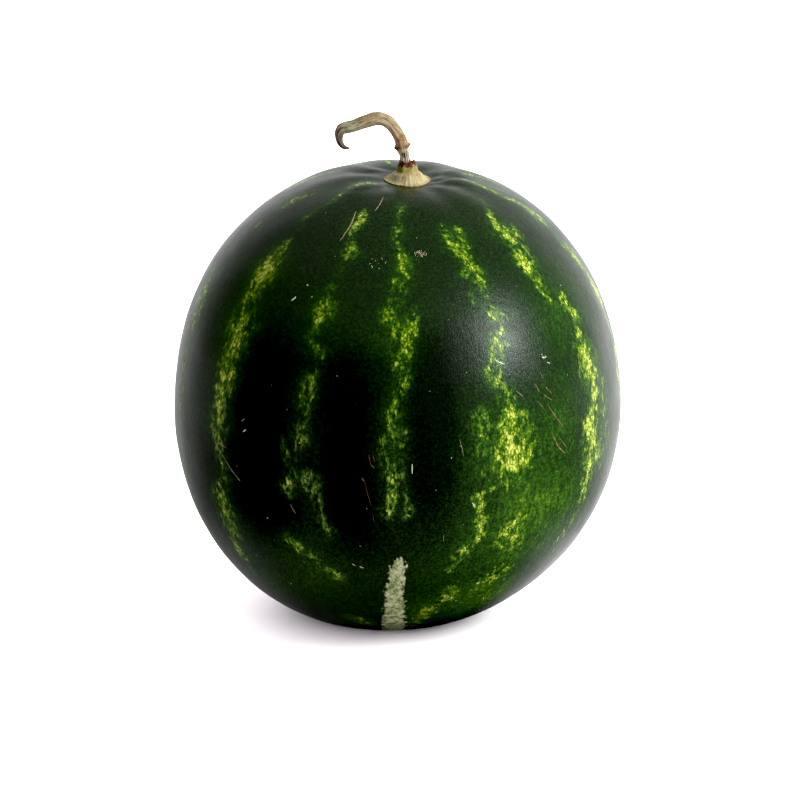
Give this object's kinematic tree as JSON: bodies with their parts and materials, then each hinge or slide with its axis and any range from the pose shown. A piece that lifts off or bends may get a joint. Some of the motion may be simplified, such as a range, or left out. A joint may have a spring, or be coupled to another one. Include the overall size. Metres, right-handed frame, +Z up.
{
  "type": "watermelon",
  "caption": "Whole round watermelon standing on the flattened blossom end, with a flared stalk foot and a bent, dried stalk that ends in a hook.",
  "frame": {"origin": "on the floor, at the level of the flat spot, under the middle of the fruit's widest ring", "axes": "+Z up from the flat spot to the stalk, -Y towards the side that the stalk's foot leans to, -X the way the stalk bends over"},
  "size_m": [0.25, 0.25, 0.2886],
  "materials": {
    "rind": "satin",
    "stalk": "matte"
  },
  "bodies": {
    "root": {"fruit": "rind", "stem": "stalk"}
  },
  "joints": []
}
